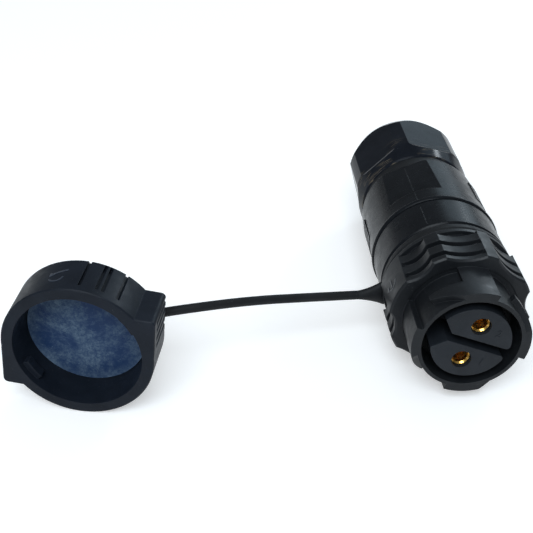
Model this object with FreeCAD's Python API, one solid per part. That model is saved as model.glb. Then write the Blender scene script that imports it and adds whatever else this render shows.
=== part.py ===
import FreeCAD, Part
import math
import os

# Inline socket connector with a two-contact socket at its front, a gland for a
# round cable at its back and a tethered dust cap that lies beside it.
# The connector is drawn about its own axis: y is the distance back from the
# front face, and an angle is counted clockwise from the top, seen from the
# front. It is then tilted onto the points that it rests on.

V = FreeCAD.Vector
ORIGIN = V(0, 0, 0)
AXIS = V(0, 1, 0)

# Clearances
RUNNING_FIT = 0.10
SLIP_FIT = 0.05
FREE_GAP = 0.30
FUSE_DEPTH = 0.20
CUT_MARGIN = 1.0
CORNER_STEPS = 2

# Barrel, its bayonet lugs and the bores behind it
BARREL_R = 11.2
GROOVE_R = 10.4
LIP_R = 9.3
LIP_FRONT = 9.4
LIP_BACK = 10.9
HOUSING_BORE_R = 10.3
LUG_COUNT = 4
LUG_R = 12.5
RAIL_FROM = -9.0
RAIL_TO = 22.0
WEDGE_TO = -44.0
WEDGE_START = -13.5
WEDGE_BACK = 4.7
WEDGE_TIP = 1.3

# Grip sleeve
SLEEVE_FRONT = 9.8
SLEEVE_LENGTH = 10.5
SLEEVE_BACK = SLEEVE_FRONT + SLEEVE_LENGTH
LAND_R = 15.35
SCALLOP_R = 14.0
PATTERN_ANGLE = 21.25
NARROW_LAND = 5.0
BIG_SCALLOP = 32.5
RIBBED_LAND = 11.5
SMALL_SCALLOP = 25.0
RIB_PITCH = 4.0
RIB_GROOVE = 1.6
RIB_GROOVE_DEPTH = 1.2
FIRST_RIB_GROOVE = 1.5
REAR_GAP = 1.0
REAR_GAP_R = 13.7
REAR_RIM = 1.0
REAR_RIM_R = 14.7
SLEEVE_EDGE = 0.4

# Neck and threaded spigot behind the sleeve
NECK_R = 12.6
RIM_BACK = SLEEVE_BACK + REAR_RIM
COLLAR_GAP = 0.2
COLLAR_WIDTH = 2.4
COLLAR_R = 14.65
COLLAR_EDGE = 0.7
NECK_BACK = RIM_BACK + COLLAR_GAP + COLLAR_WIDTH + FREE_GAP
SPIGOT_R = 12.2
SPIGOT_LENGTH = 8.3
SPIGOT_BACK = NECK_BACK + SPIGOT_LENGTH
O_RING_R = 0.7
O_RING_SEAT_R = 11.3
O_RING_AT = NECK_BACK + 2.1

# Contact insert
INSERT_TURN = 22.0
ISLAND_R = 8.45
ISLAND_RECESS = 0.2
CHANNEL_WIDTH = 1.9
CHANNEL_DEPTH = 8.0
NOTCH_AT = 5.0
ISLAND_CORNER = 0.8
FLANGE_THICKNESS = 2.5
INSERT_BACK = 24.0
INSERT_REAR_R = 8.4
KEY_WIDTH = 2.0
KEY_HEIGHT = 0.8
RETAINER_LENGTH = 2.6
SPANNER_SLOT = 1.6
SEAL_LENGTH = 1.5

# Contacts
CONTACT_OFFSET = 4.4
CONTACT_R = 2.0
CONTACT_RECESS = 1.1
CONTACT_BACK = 24.6
CONTACT_SHOULDER = 11.0
TERMINAL_R = 2.4
PIN_R = 1.5
MOUTH_R = 1.8
MOUTH_DEPTH = 0.35
MOUTH_EDGE = 0.12
LIP_LENGTH = 0.8
SPRING_LENGTH = 5.8
SPRING_WALL = 0.18
SPRING_SLIT = 0.4
PIN_BORE_END = 9.6
WIRE_R = 1.4
WIRE_DEPTH = 7.0
SCREW_R = 1.2
SCREW_AT = 20.6
SCREW_LENGTH = 3.4
SCREW_TIP = 0.4
SCREW_SLOT_WIDTH = 0.4
SCREW_SLOT_DEPTH = 0.6

# Rear shell
SHELL_FRONT_R = 14.55
SHELL_RIM_R = 14.9
SHELL_RIM_AT = 35.3
SHELL_RIM_HALF = 0.7
SHELL_GROOVE = 0.4
SHELL_GROOVE_DEPTH = 0.4
SHELL_TAPER_R = 14.4
SHELL_TAPER_AT = 41.0
SHELL_BACK_R = 14.15
SHELL_BACK = 54.8
SHELL_EDGE = 0.4
WIRE_SPACE_R = 10.5
WIRE_SPACE_BACK = 51.0
FACET_ANGLE = -20.5
FACET_DISTANCE = 13.0
FACET_FRONT = 40.0
PAD_HALF_ANGLE = 23.0
PAD_FRONT = 42.0
PAD_LENGTH = 8.0
PAD_BULGE = 0.25
PAD_RIBS = 5
PAD_RIB_GAP = 0.6
PAD_DEPTH = 0.5

# Gland
GLAND_THREAD_R = 11.4
GLAND_THREAD_BACK = 68.5
NECK_RING_R = 13.1
NECK_RING_LENGTH = 3.0
CAGE_SEAT = 60.0
CAGE_R = 9.5
CAGE_WALL = 1.2
CAGE_FLANGE_R = 10.8
CAGE_FLANGE = 1.0
CAGE_BACK = 76.0
CAGE_TIP_R = 9.0
CAGE_SLOTS = 10
CAGE_SLOT_WIDTH = 1.1
CABLE_R = 5.5
GLAND_SEAL_BACK = 75.0
SHELL_THROAT_R = 7.6

# Gland nut
NUT_LENGTH = 20.9
NUT_FRONT_R = 13.5
NUT_COLLAR_R = 14.2
NUT_COLLAR_AT = 4.8
NUT_R = 14.4
NUT_ACROSS_FLATS = 26.4
NUT_TURN = -13.8
NUT_FLAT_AT = 5.8
NUT_SCOOP_R = 4.0
NUT_CHAMFER = 2.8
NUT_EDGE = 0.4
NUT_THREAD_LENGTH = 12.6
NUT_EXIT_R = 7.0
NUT_EXIT_LENGTH = 1.4

# Dust cap, drawn about its own axis from its mouth back
CAP_R = 15.8
CAP_LENGTH = 10.7
CAP_BORE_R = 13.4
CAP_SEAT_R = 12.75
GASKET_FACE = 7.45
GASKET_THICKNESS = 1.2
CAP_EDGE = 0.6
CAP_MOUTH_EDGE = 0.25
EAR_ROOT = V(12.5, 0, 9.7)
EAR_CORNER = V(16.7, 0, 9.2)
EAR_SIDE = V(15.85, 0, 0)
EAR_CORNER_R = 1.0
EAR_FLUTES = 4
EAR_FLUTE_PITCH = 1.9
EAR_FLUTE_R = 0.6
EAR_FIRST_FLUTE = 7.6
PAD_LINES = (6.0, 35.0)
PAD_LINE_WIDTH = 0.7
PAD_SLOTS = (18.5, 22.8)
PAD_SLOT_WIDTH = 0.7
PAD_CUT_DEPTH = 0.9
PAD_CUT_FRONT = 1.8
PAD_CUT_BACK = 10.0
CAP_LUG_FROM = 47.0
CAP_LUG_TO = 68.0
CAP_LUG_R = 12.1
CAP_LUG_FRONT = 1.5
CAP_LUG_LENGTH = 2.0
BUTTON_R = 2.0
BUTTON_HEAD_R = 3.6
BUTTON_HEAD = 1.3
BUTTON_FOOT_R = 1.5
BUTTON_FOOT = 1.4
CAP_PLACE = V(-80.13, -37.09, CAP_R)
CAP_TURN = -11.5

# Tether: its route in the part's frame, then the ends that it is moulded to
TETHER_R = 1.0
TETHER_ROUTE = [
    V(-20.0, -17.4, 13.0),
    V(-30.8, -18.9, 14.0),
    V(-43.9, -22.45, 16.4),
    V(-57.4, -26.6, 18.1),
    V(-66.1, -27.75, 17.7),
    V(-70.9, -26.65, 17.0),
]
ARC_SHARE = 0.45
FLARE_HEIGHT = 7.2
FLARE_WIDTH = 2.2
FLARE_LENGTH = 5.6
FLARE_WAIST = 0.48
FLARE_SINK = 0.8
FLARE_LIFT = 0.7
END_RING_R = 4.2
END_RING_THICKNESS = 2.0


# Places that follow from the sizes above
FLANGE_BACK = LIP_BACK + FLANGE_THICKNESS
FLANGE_R = HOUSING_BORE_R - RUNNING_FIT
NUT_FRONT = SHELL_BACK + NECK_RING_LENGTH + RUNNING_FIT
NUT_BACK = NUT_FRONT + NUT_LENGTH
NUT_END_R = NUT_ACROSS_FLATS / 2
NUT_REST_BACK = NUT_BACK - NUT_CHAMFER
NUT_FLAT_HALF = math.degrees(math.acos(NUT_ACROSS_FLATS / 2 / NUT_R))
NUT_CORNER_HALF = 30 - NUT_FLAT_HALF
NUT_REST_R = NUT_R * math.cos(math.radians(abs(NUT_TURN) - NUT_CORNER_HALF))
TILT = math.atan2(SHELL_RIM_R - NUT_REST_R, NUT_REST_BACK - SHELL_RIM_AT)
AXIS_HEIGHT = SHELL_RIM_AT * math.sin(TILT) + SHELL_RIM_R * math.cos(TILT)
FRONT_REACH = LUG_R * math.sin(TILT)
BACK_REACH = NUT_BACK * math.cos(TILT) + NUT_END_R * math.sin(TILT)
CENTRE_Y = (BACK_REACH - FRONT_REACH) / 2
END_RING_FRONT = CAP_LENGTH + FREE_GAP
END_RING_BACK = END_RING_FRONT + END_RING_THICKNESS
BUTTON_HEAD_FRONT = END_RING_BACK + FREE_GAP


# Shared shapes
def polar(radius, angle, y):
    turn = math.radians(angle)
    return V(radius * math.sin(turn), y, radius * math.cos(turn))


def revolved(wire, axis_point=ORIGIN):
    return Part.Face(wire).revolve(axis_point, AXIS, 360)


def turned(points):
    corners = [V(radius, y, 0) for radius, y in points]
    return revolved(Part.makePolygon(corners + corners[:1]))


def rod(radius, front, back):
    return Part.makeCylinder(radius, back - front, V(0, front, 0), AXIS)


def ring(inner, outer, front, back):
    return turned([(inner, front), (outer, front), (outer, back), (inner, back)])


def sector(inner, outer, front, back, angle_from, angle_to):
    middle = (angle_from + angle_to) / 2
    outer_arc = Part.Arc(
        polar(outer, angle_from, front),
        polar(outer, middle, front),
        polar(outer, angle_to, front),
    )
    inner_arc = Part.Arc(
        polar(inner, angle_to, front),
        polar(inner, middle, front),
        polar(inner, angle_from, front),
    )
    near_side = Part.LineSegment(polar(outer, angle_to, front), polar(inner, angle_to, front))
    far_side = Part.LineSegment(polar(inner, angle_from, front), polar(outer, angle_from, front))
    edges = [outer_arc, near_side, inner_arc, far_side]
    outline = Part.Wire([edge.toShape() for edge in edges])
    return Part.Face(outline).extrude(AXIS * (back - front))


def about_axis(shape, angle):
    copy = shape.copy()
    copy.rotate(ORIGIN, AXIS, angle)
    return copy


def top_block(width, low, high, front, back):
    return Part.makeBox(width, back - front, high - low, V(-width / 2, front, low))


def corner_points(radius, y, corner_r, start, end):
    points = []
    for step in range(CORNER_STEPS + 1):
        turn = math.radians(start + (end - start) * step / CORNER_STEPS)
        points.append((radius + corner_r * math.cos(turn), y + corner_r * math.sin(turn)))
    return points


def one_solid(shape):
    return shape.removeSplitter().Solids[0]


def rounded(shape, radius, chosen):
    edges = [edge for edge in shape.Edges if chosen(edge)]
    return shape.makeFillet(radius, edges)


def bevelled(shape, width, chosen):
    edges = [edge for edge in shape.Edges if chosen(edge)]
    return shape.makeChamfer(width, edges)


def flat_at(edge, y):
    box = edge.BoundBox
    return abs(box.YMin - y) < 1e-4 and abs(box.YMax - y) < 1e-4


def on_connector(shape):
    copy = shape.copy()
    copy.rotate(ORIGIN, V(1, 0, 0), -math.degrees(TILT))
    copy.translate(V(0, -CENTRE_Y, AXIS_HEIGHT))
    return copy


def on_cap(shape):
    copy = shape.copy()
    copy.rotate(ORIGIN, V(0, 0, 1), CAP_TURN)
    copy.translate(CAP_PLACE)
    return copy


# Grip sleeve: lands on a circle, with a concave scallop between each two
def sleeve_spans():
    spans = []
    for side in (0, 180):
        for mirror in (1, -1):
            angle = NARROW_LAND
            for width in (BIG_SCALLOP, SMALL_SCALLOP):
                start = PATTERN_ANGLE + side + mirror * angle
                end = start + mirror * width
                spans.append((min(start, end), max(start, end)))
                angle += width + RIBBED_LAND
    return sorted(spans)


def sleeve_outline(land_r, floor_r, y):
    spans = sleeve_spans()
    edges = []
    for index, (start, end) in enumerate(spans):
        following = spans[(index + 1) % len(spans)][0]
        if index == len(spans) - 1:
            following += 360
        scallop = Part.Arc(
            polar(land_r, start, y),
            polar(floor_r, (start + end) / 2, y),
            polar(land_r, end, y),
        )
        land = Part.Arc(
            polar(land_r, end, y),
            polar(land_r, (end + following) / 2, y),
            polar(land_r, following, y),
        )
        edges += [scallop.toShape(), land.toShape()]
    return Part.Wire(edges)


def ribbed_spans():
    reach = NARROW_LAND + BIG_SCALLOP + RIBBED_LAND + SMALL_SCALLOP
    spans = []
    for side in (0, 180):
        centre = PATTERN_ANGLE + side
        spans.append((centre + NARROW_LAND, centre + reach))
        spans.append((centre - reach, centre - NARROW_LAND))
    return spans


def rib_groove(front):
    floor = sleeve_outline(LAND_R - RIB_GROOVE_DEPTH, SCALLOP_R - RIB_GROOVE_DEPTH, front)
    core = Part.Face(floor).extrude(AXIS * RIB_GROOVE)
    sectors = [
        sector(NECK_R, LAND_R + CUT_MARGIN, front, front + RIB_GROOVE, start, end)
        for start, end in ribbed_spans()
    ]
    return Part.makeCompound([piece.cut(core) for piece in sectors])


def grip_sleeve():
    outline = sleeve_outline(LAND_R, SCALLOP_R, SLEEVE_FRONT)
    sleeve = Part.Face(outline).extrude(AXIS * SLEEVE_LENGTH)
    sleeve = bevelled(sleeve, SLEEVE_EDGE, lambda edge: flat_at(edge, SLEEVE_FRONT))
    for index in range(2):
        front = SLEEVE_FRONT + FIRST_RIB_GROOVE + index * RIB_PITCH
        sleeve = sleeve.cut(rib_groove(front))
    for start, end in sleeve_spans():
        gap = sector(REAR_GAP_R, LAND_R + CUT_MARGIN, SLEEVE_BACK - REAR_GAP, SLEEVE_BACK, start, end)
        sleeve = sleeve.cut(gap)
    rim = rod(REAR_RIM_R, SLEEVE_BACK, RIM_BACK)
    return sleeve.fuse(rim)


# Bayonet lug: an axial rail with a slanting wedge on one side
def bayonet_lug():
    root = BARREL_R - FUSE_DEPTH
    rail = sector(root, LUG_R, 0, SLEEVE_FRONT + FUSE_DEPTH, RAIL_FROM, RAIL_TO)
    wedge = sector(root, LUG_R, 0, WEDGE_BACK, WEDGE_TO, RAIL_FROM + CUT_MARGIN)
    run = math.radians(WEDGE_START - WEDGE_TO) * LUG_R
    rise = WEDGE_BACK - WEDGE_TIP
    slope = math.atan2(rise, run)
    size = 4 * WEDGE_BACK
    ramp = Part.makeBox(2 * size, size, size, V(-size, -size, root - CUT_MARGIN))
    ramp.rotate(ORIGIN, V(0, 0, 1), -math.degrees(slope))
    ramp.translate(V(0, rise / 2, 0))
    ramp = about_axis(ramp, (WEDGE_START + WEDGE_TO) / 2)
    return rail.fuse(wedge.cut(ramp))


def front_housing():
    profile = [
        (GROOVE_R, 0),
        (BARREL_R, 0),
        (BARREL_R, SLEEVE_FRONT + FUSE_DEPTH),
        (NECK_R, SLEEVE_FRONT + FUSE_DEPTH),
        (NECK_R, NECK_BACK),
        (SPIGOT_R, NECK_BACK),
        (SPIGOT_R, O_RING_AT - O_RING_R - RUNNING_FIT),
        (O_RING_SEAT_R, O_RING_AT - O_RING_R - RUNNING_FIT),
        (O_RING_SEAT_R, O_RING_AT + O_RING_R + RUNNING_FIT),
        (SPIGOT_R, O_RING_AT + O_RING_R + RUNNING_FIT),
        (SPIGOT_R, SPIGOT_BACK),
        (HOUSING_BORE_R, SPIGOT_BACK),
        (HOUSING_BORE_R, LIP_BACK),
        (LIP_R, LIP_BACK),
        (LIP_R, LIP_FRONT),
        (GROOVE_R, LIP_FRONT),
    ]
    core = turned(profile)
    sleeve = grip_sleeve().cut(rod(NECK_R - FUSE_DEPTH, 0, RIM_BACK + CUT_MARGIN))
    lug = bayonet_lug()
    lugs = [about_axis(lug, turn * 360 / LUG_COUNT) for turn in range(LUG_COUNT)]
    key = top_block(
        KEY_WIDTH,
        HOUSING_BORE_R - KEY_HEIGHT,
        HOUSING_BORE_R + FUSE_DEPTH,
        LIP_BACK - FUSE_DEPTH,
        FLANGE_BACK,
    )
    key = about_axis(key, INSERT_TURN + 180)
    return on_connector(one_solid(core.fuse([sleeve, key] + lugs)))


# Insert with its two D-shaped islands, a keyway between them and a notch at one end
def contact_insert():
    profile = [
        (0, ISLAND_RECESS),
        (ISLAND_R, ISLAND_RECESS),
        (ISLAND_R, LIP_FRONT),
        (LIP_R - RUNNING_FIT, LIP_FRONT),
        (LIP_R - RUNNING_FIT, LIP_BACK),
        (FLANGE_R, LIP_BACK),
        (FLANGE_R, FLANGE_BACK),
        (INSERT_REAR_R, FLANGE_BACK),
        (INSERT_REAR_R, INSERT_BACK),
        (0, INSERT_BACK),
    ]
    body = turned(profile)
    half = CHANNEL_WIDTH / 2
    reach = ISLAND_R + CUT_MARGIN
    channel = Part.makeBox(2 * reach, CHANNEL_DEPTH, CHANNEL_WIDTH, V(-reach, 0, -half))
    corners = [
        V(-NOTCH_AT, 0, half),
        V(-reach, 0, half + reach - NOTCH_AT),
        V(-reach, 0, -half - reach + NOTCH_AT),
        V(-NOTCH_AT, 0, -half),
    ]
    notch = Part.Face(Part.makePolygon(corners + corners[:1])).extrude(AXIS * CHANNEL_DEPTH)
    body = body.cut(channel.fuse(notch))
    end_x = math.sqrt(ISLAND_R**2 - half**2)

    def island_corner(edge):
        place = edge.CenterOfMass
        return abs(place.x - end_x) < 1e-3 and abs(abs(place.z) - half) < 1e-3

    body = rounded(body, ISLAND_CORNER, island_corner)
    for side in (1, -1):
        place = V(0, 0, side * CONTACT_OFFSET)
        front_hole = rod(CONTACT_R + RUNNING_FIT, 0, CONTACT_SHOULDER)
        rear_hole = rod(TERMINAL_R + RUNNING_FIT, CONTACT_SHOULDER, INSERT_BACK + CUT_MARGIN)
        screw_hole = Part.makeCylinder(
            SCREW_R + FREE_GAP, INSERT_REAR_R, V(0, SCREW_AT, 0), V(0, 0, side)
        )
        holes = front_hole.fuse(rear_hole)
        holes.translate(place)
        body = body.cut(holes.fuse(screw_hole.translated(place)))
    keyway = top_block(
        KEY_WIDTH + 2 * RUNNING_FIT,
        HOUSING_BORE_R - KEY_HEIGHT - RUNNING_FIT,
        HOUSING_BORE_R,
        LIP_BACK,
        FLANGE_BACK,
    )
    body = body.cut(about_axis(keyway, 180))
    return on_connector(about_axis(one_solid(body), INSERT_TURN))


def interface_seal():
    inner = ISLAND_R + RUNNING_FIT
    outer = GROOVE_R - SLIP_FIT
    front = LIP_FRONT - SEAL_LENGTH
    return on_connector(ring(inner, outer, front, LIP_FRONT))


def insert_retainer():
    inner = INSERT_REAR_R + FREE_GAP
    outer = HOUSING_BORE_R - RUNNING_FIT
    back = FLANGE_BACK + RETAINER_LENGTH
    body = ring(inner, outer, FLANGE_BACK, back)
    depth = RETAINER_LENGTH / 2
    reach = outer + CUT_MARGIN
    corner = V(-reach, back - depth, -SPANNER_SLOT / 2)
    slot = Part.makeBox(2 * reach, depth, SPANNER_SLOT, corner)
    return on_connector(one_solid(body.cut(slot)))


def housing_o_ring():
    centre_r = O_RING_SEAT_R + O_RING_R + SLIP_FIT
    section = []
    for start in range(0, 360, 90):
        section += corner_points(centre_r, O_RING_AT, O_RING_R, start, start + 90)[:-1]
    return on_connector(turned(section))


# One turned contact, and the rolled spring sleeve inside it
def at_contact(shape, side):
    copy = shape.copy()
    copy.translate(V(0, 0, side * CONTACT_OFFSET))
    return on_connector(about_axis(copy, INSERT_TURN))


def spring_front():
    return CONTACT_RECESS + MOUTH_DEPTH + LIP_LENGTH


def socket_contact(side):
    lip_front = CONTACT_RECESS + MOUTH_DEPTH
    front = spring_front()
    spring_back = front + SPRING_LENGTH
    recess_r = PIN_R + SPRING_WALL + 2 * SLIP_FIT
    profile = [
        (MOUTH_R, CONTACT_RECESS),
        (CONTACT_R - MOUTH_EDGE, CONTACT_RECESS),
        (CONTACT_R, CONTACT_RECESS + MOUTH_EDGE),
        (CONTACT_R, CONTACT_SHOULDER),
        (TERMINAL_R, CONTACT_SHOULDER),
        (TERMINAL_R, CONTACT_BACK),
        (WIRE_R, CONTACT_BACK),
        (WIRE_R, CONTACT_BACK - WIRE_DEPTH),
        (0, CONTACT_BACK - WIRE_DEPTH),
        (0, PIN_BORE_END),
        (PIN_R, PIN_BORE_END),
        (PIN_R, spring_back),
        (recess_r, spring_back),
        (recess_r, front),
        (PIN_R, front),
        (PIN_R, lip_front),
    ]
    body = turned(profile)
    thread_hole = Part.makeCylinder(
        SCREW_R + SLIP_FIT, 2 * TERMINAL_R, V(0, SCREW_AT, 0), V(0, 0, side)
    )
    return at_contact(one_solid(body.cut(thread_hole)), side)


def contact_spring(side):
    inner = PIN_R
    outer = PIN_R + SPRING_WALL
    front = spring_front() + SLIP_FIT
    back = spring_front() + SPRING_LENGTH - SLIP_FIT
    half_slit = math.degrees(SPRING_SLIT / 2 / outer)
    left = sector(inner, outer, front, back, half_slit, 180)
    right = sector(inner, outer, front, back, 180, 360 - half_slit)
    return at_contact(one_solid(left.fuse(right)), side)


def terminal_screw(side):
    low = SCREW_TIP
    high = SCREW_TIP + SCREW_LENGTH
    body = Part.makeCylinder(SCREW_R, SCREW_LENGTH, V(0, SCREW_AT, side * low), V(0, 0, side))
    slot = Part.makeBox(
        SCREW_SLOT_WIDTH,
        4 * SCREW_R,
        SCREW_SLOT_DEPTH,
        V(-SCREW_SLOT_WIDTH / 2, SCREW_AT - 2 * SCREW_R, high - SCREW_SLOT_DEPTH),
    )
    if side < 0:
        slot.rotate(ORIGIN, AXIS, 180)
    return at_contact(body.cut(slot), side)


# Tether: the collar in its groove, the free strap and the ring at the cap
def run_direction(start, end):
    direction = end - start
    return direction.normalize()


def flare_section(centre, direction, width, height):
    across = direction.cross(V(0, 0, 1)).normalize()
    upright = across.cross(direction).normalize()
    ellipse = Part.Ellipse(centre + upright * (height / 2), centre + across * (width / 2), centre)
    return Part.Wire(ellipse.toShape())


def tether_collar():
    front = RIM_BACK + COLLAR_GAP
    back = front + COLLAR_WIDTH
    edge_r = COLLAR_R - COLLAR_EDGE
    inner_r = NECK_R + SLIP_FIT
    section = [(inner_r, back), (inner_r, front)]
    section += corner_points(edge_r, front + COLLAR_EDGE, COLLAR_EDGE, -90, 0)
    section += corner_points(edge_r, back - COLLAR_EDGE, COLLAR_EDGE, 0, 90)
    band = turned(section)
    start = TETHER_ROUTE[0]
    inward = run_direction(TETHER_ROUTE[1], start)
    lift = V(0, 0, FLARE_LIFT)
    middle = start + inward * (FLARE_LENGTH / 2) + lift * (FLARE_WAIST / 2)
    root = start + inward * (FLARE_LENGTH + FLARE_SINK) + lift
    wide = flare_section(root, inward, FLARE_WIDTH, FLARE_HEIGHT)
    middle = flare_section(middle, inward, FLARE_WIDTH, FLARE_WAIST * FLARE_HEIGHT)
    narrow = Part.Wire(Part.Circle(start, inward, TETHER_R).toShape())
    flare = Part.makeLoft([narrow, middle, wide], True)
    return one_solid(on_connector(band).fuse(flare))


def tether_strap():
    points = TETHER_ROUTE
    directions = [run_direction(a, b) for a, b in zip(points, points[1:])]
    lengths = [(b - a).Length for a, b in zip(points, points[1:])]
    edges = []
    last = points[0]
    for index in range(1, len(points) - 1):
        before, after = directions[index - 1], directions[index]
        half_turn = before.getAngle(after) / 2
        shorter = min(lengths[index - 1], lengths[index])
        reach = ARC_SHARE * shorter
        radius = reach / math.tan(half_turn)
        print("tether arc", index, "radius", round(radius, 1), "mm")
        entry = points[index] - before * reach
        leave = points[index] + after * reach
        inside = (after - before).normalize()
        depth = radius / math.cos(half_turn) - radius
        edges.append(Part.LineSegment(last, entry).toShape())
        edges.append(Part.Arc(entry, points[index] + inside * depth, leave).toShape())
        last = leave
    edges.append(Part.LineSegment(last, points[-1]).toShape())
    path = Part.Wire(edges)
    section = Part.Wire(Part.Circle(points[0], directions[0], TETHER_R).toShape())
    tube = path.makePipeShell([section], True, False)
    expected = math.pi * TETHER_R**2 * path.Length
    print("tether length", round(path.Length, 2), "mm, volume share", round(tube.Volume / expected, 4))
    return tube.Solids[0]


def tether_end_ring():
    inner = BUTTON_R + RUNNING_FIT
    band = on_cap(ring(inner, END_RING_R, END_RING_FRONT, END_RING_BACK))
    end = TETHER_ROUTE[-1]
    inward = run_direction(TETHER_ROUTE[-2], end)
    middle_r = (inner + END_RING_R) / 2
    centre = on_cap(Part.Vertex(0, (END_RING_FRONT + END_RING_BACK) / 2, 0)).Point
    length = (centre - end).Length - middle_r
    tab = Part.makeCylinder(TETHER_R, length, end, inward)
    return one_solid(band.fuse(tab))


# Rear shell, and the gland that closes it round a cable
def shell_profile():
    rim_front = SHELL_RIM_AT - SHELL_RIM_HALF
    rim_back = SHELL_RIM_AT + SHELL_RIM_HALF
    groove_front = rim_front - SHELL_GROOVE
    groove_r = SHELL_FRONT_R - SHELL_GROOVE_DEPTH
    shoulder_r = SHELL_RIM_R - SHELL_RIM_HALF / 2
    bore_r = SPIGOT_R + RUNNING_FIT
    o_ring_r = O_RING_SEAT_R + 2 * O_RING_R + SLIP_FIT + RUNNING_FIT
    o_ring_back = O_RING_AT + 2 * O_RING_R
    before_rim = [
        (o_ring_r, NECK_BACK),
        (SHELL_FRONT_R - SHELL_EDGE, NECK_BACK),
        (SHELL_FRONT_R, NECK_BACK + SHELL_EDGE),
        (SHELL_FRONT_R, groove_front),
        (groove_r, groove_front),
        (groove_r, rim_front),
        (shoulder_r, rim_front),
    ]
    after_rim = [
        (shoulder_r, rim_back),
        (SHELL_TAPER_R, SHELL_TAPER_AT),
        (SHELL_BACK_R, SHELL_BACK - SHELL_EDGE),
        (SHELL_BACK_R - SHELL_EDGE, SHELL_BACK),
        (GLAND_THREAD_R, SHELL_BACK),
        (GLAND_THREAD_R, GLAND_THREAD_BACK),
        (CAGE_R + RUNNING_FIT, GLAND_THREAD_BACK),
        (CAGE_R + RUNNING_FIT, CAGE_SEAT),
        (SHELL_THROAT_R, CAGE_SEAT),
        (SHELL_THROAT_R, WIRE_SPACE_BACK + WIRE_SPACE_R - SHELL_THROAT_R),
        (WIRE_SPACE_R, WIRE_SPACE_BACK),
        (WIRE_SPACE_R, SPIGOT_BACK),
        (bore_r, SPIGOT_BACK),
        (bore_r, o_ring_back),
        (o_ring_r, o_ring_back - (o_ring_r - bore_r)),
        (o_ring_r, NECK_BACK),
    ]
    lead = [V(radius, y, 0) for radius, y in before_rim]
    tail = [V(radius, y, 0) for radius, y in after_rim]
    rim = Part.Arc(lead[-1], V(SHELL_RIM_R, SHELL_RIM_AT, 0), tail[0])
    edges = Part.makePolygon(lead).Edges + [rim.toShape()] + Part.makePolygon(tail).Edges
    return Part.Wire(edges)


def side_pad(angle):
    outer = (SHELL_TAPER_R + SHELL_BACK_R) / 2 + PAD_BULGE
    back = PAD_FRONT + PAD_LENGTH
    root = SHELL_BACK_R - CUT_MARGIN
    pad = sector(root, outer, PAD_FRONT, back, angle - PAD_HALF_ANGLE, angle + PAD_HALF_ANGLE)
    pitch = PAD_LENGTH / PAD_RIBS
    for index in range(1, PAD_RIBS):
        middle = PAD_FRONT + index * pitch
        front = middle - PAD_RIB_GAP / 2
        groove = ring(outer - PAD_DEPTH, outer + CUT_MARGIN, front, front + PAD_RIB_GAP)
        pad = pad.cut(groove)
    return pad


def side_pad_pocket(angle):
    outer = (SHELL_TAPER_R + SHELL_BACK_R) / 2 + PAD_BULGE
    return sector(
        outer - PAD_DEPTH,
        outer + CUT_MARGIN,
        PAD_FRONT,
        PAD_FRONT + PAD_LENGTH,
        angle - PAD_HALF_ANGLE,
        angle + PAD_HALF_ANGLE,
    )


def rear_shell():
    body = revolved(shell_profile())
    for side in (0, 180):
        top = SHELL_RIM_R + CUT_MARGIN
        back = SHELL_BACK + CUT_MARGIN
        facet = top_block(2 * SHELL_RIM_R, FACET_DISTANCE, top, FACET_FRONT, back)
        body = body.cut(about_axis(facet, FACET_ANGLE + side))
        pad_angle = FACET_ANGLE + 90 + side
        body = body.cut(side_pad_pocket(pad_angle))
        body = body.fuse(side_pad(pad_angle))
    return on_connector(one_solid(body))


def neck_seal_ring():
    inner = GLAND_THREAD_R + RUNNING_FIT
    return on_connector(ring(inner, NECK_RING_R, SHELL_BACK, SHELL_BACK + NECK_RING_LENGTH))


def gland_cage():
    inner = CAGE_R - CAGE_WALL
    flange_back = GLAND_THREAD_BACK + CAGE_FLANGE
    profile = [
        (inner, CAGE_SEAT),
        (CAGE_R, CAGE_SEAT),
        (CAGE_R, GLAND_THREAD_BACK),
        (CAGE_FLANGE_R, GLAND_THREAD_BACK),
        (CAGE_FLANGE_R, flange_back),
        (CAGE_R, flange_back),
        (CAGE_TIP_R, CAGE_BACK),
        (inner, CAGE_BACK),
    ]
    body = turned(profile)
    slots = []
    for index in range(CAGE_SLOTS):
        top = CAGE_FLANGE_R + CUT_MARGIN
        back = CAGE_BACK + CUT_MARGIN
        slot = top_block(CAGE_SLOT_WIDTH, inner - CUT_MARGIN, top, GLAND_THREAD_BACK, back)
        slots.append(about_axis(slot, (index + 0.5) * 360 / CAGE_SLOTS))
    return on_connector(one_solid(body.cut(slots)))


def gland_seal():
    outer = CAGE_R - CAGE_WALL - SLIP_FIT
    return on_connector(ring(CABLE_R, outer, CAGE_SEAT, GLAND_SEAL_BACK))


def nut_flat(angle):
    distance = NUT_ACROSS_FLATS / 2
    start = NUT_FRONT + NUT_FLAT_AT
    top = NUT_R + CUT_MARGIN
    rise = top - distance
    back_off = math.sqrt(NUT_SCOOP_R**2 - (NUT_SCOOP_R - rise) ** 2)
    half_turn = math.acos((NUT_SCOOP_R - rise) / NUT_SCOOP_R) / 2
    flat_start = V(-NUT_R, start, distance)
    scoop_top = V(-NUT_R, start - back_off, top)
    scoop_middle = V(
        -NUT_R,
        start - NUT_SCOOP_R * math.sin(half_turn),
        distance + NUT_SCOOP_R * (1 - math.cos(half_turn)),
    )
    end_low = V(-NUT_R, NUT_BACK + CUT_MARGIN, distance)
    end_high = V(-NUT_R, NUT_BACK + CUT_MARGIN, top)
    edges = [
        Part.Arc(scoop_top, scoop_middle, flat_start),
        Part.LineSegment(flat_start, end_low),
        Part.LineSegment(end_low, end_high),
        Part.LineSegment(end_high, scoop_top),
    ]
    side = Part.Face(Part.Wire([edge.toShape() for edge in edges]))
    return about_axis(side.extrude(V(2 * NUT_R, 0, 0)), angle)


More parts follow.
